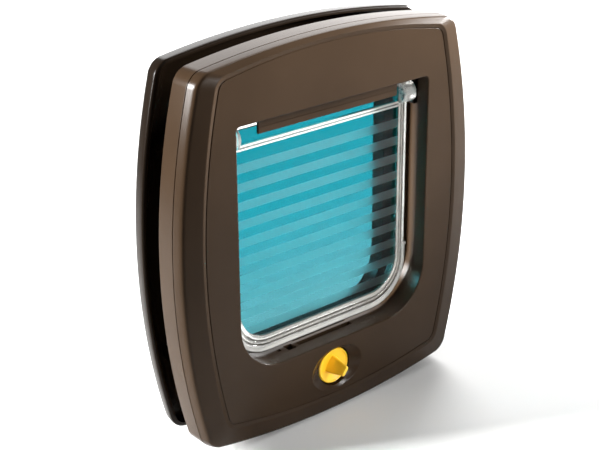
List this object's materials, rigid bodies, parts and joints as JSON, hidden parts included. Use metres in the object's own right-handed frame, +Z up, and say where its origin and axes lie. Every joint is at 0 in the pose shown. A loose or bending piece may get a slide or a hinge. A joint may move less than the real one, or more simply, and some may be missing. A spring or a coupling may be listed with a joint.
{
  "type": "cat flap",
  "caption": "Door-mounted cat flap: bowed brown frames clamp either side of the door, a clear striped panel swings both ways on pins, and a yellow knob turns stops into its path.",
  "frame": {"origin": "middle of the passage, in the plane of the door face that the front frame lies against", "axes": "+X to the right seen from the room, +Y through the door to the outside, +Z up"},
  "size_m": [0.2334, 0.058, 0.2504],
  "materials": {
    "brown_plastic": "satin moulded",
    "dark_plastic": "satin moulded",
    "clear_panel": "clear panel with frosted stripes",
    "clear_seal": "clear flexible",
    "yellow_plastic": "satin moulded",
    "steel": "zinc plated"
  },
  "bodies": {
    "frame": {"front_cover": "brown_plastic", "front_base": "brown_plastic", "rear_frame": "dark_plastic", "hinge_block_left": "dark_plastic", "hinge_block_right": "dark_plastic", "frame_screws": "steel"},
    "flap": {"flap": "clear_panel", "flap_strip": "clear_seal", "hinge_pin_left": "steel", "hinge_pin_right": "steel"},
    "stop_knob": {"knob": "yellow_plastic", "stop_spindle": "brown_plastic"}
  },
  "joints": [
    {"name": "flap_swing", "type": "hinge", "parent": "frame", "child": "flap", "pos_m": [0, -0.0058, 0.066], "axis": [1, 0, 0], "range_deg": [-85, 85]},
    {"name": "knob_turn", "type": "hinge", "parent": "frame", "child": "stop_knob", "pos_m": [0, -0.015, -0.0985], "axis": [0, 1, 0], "range_deg": [0, 270]}
  ]
}
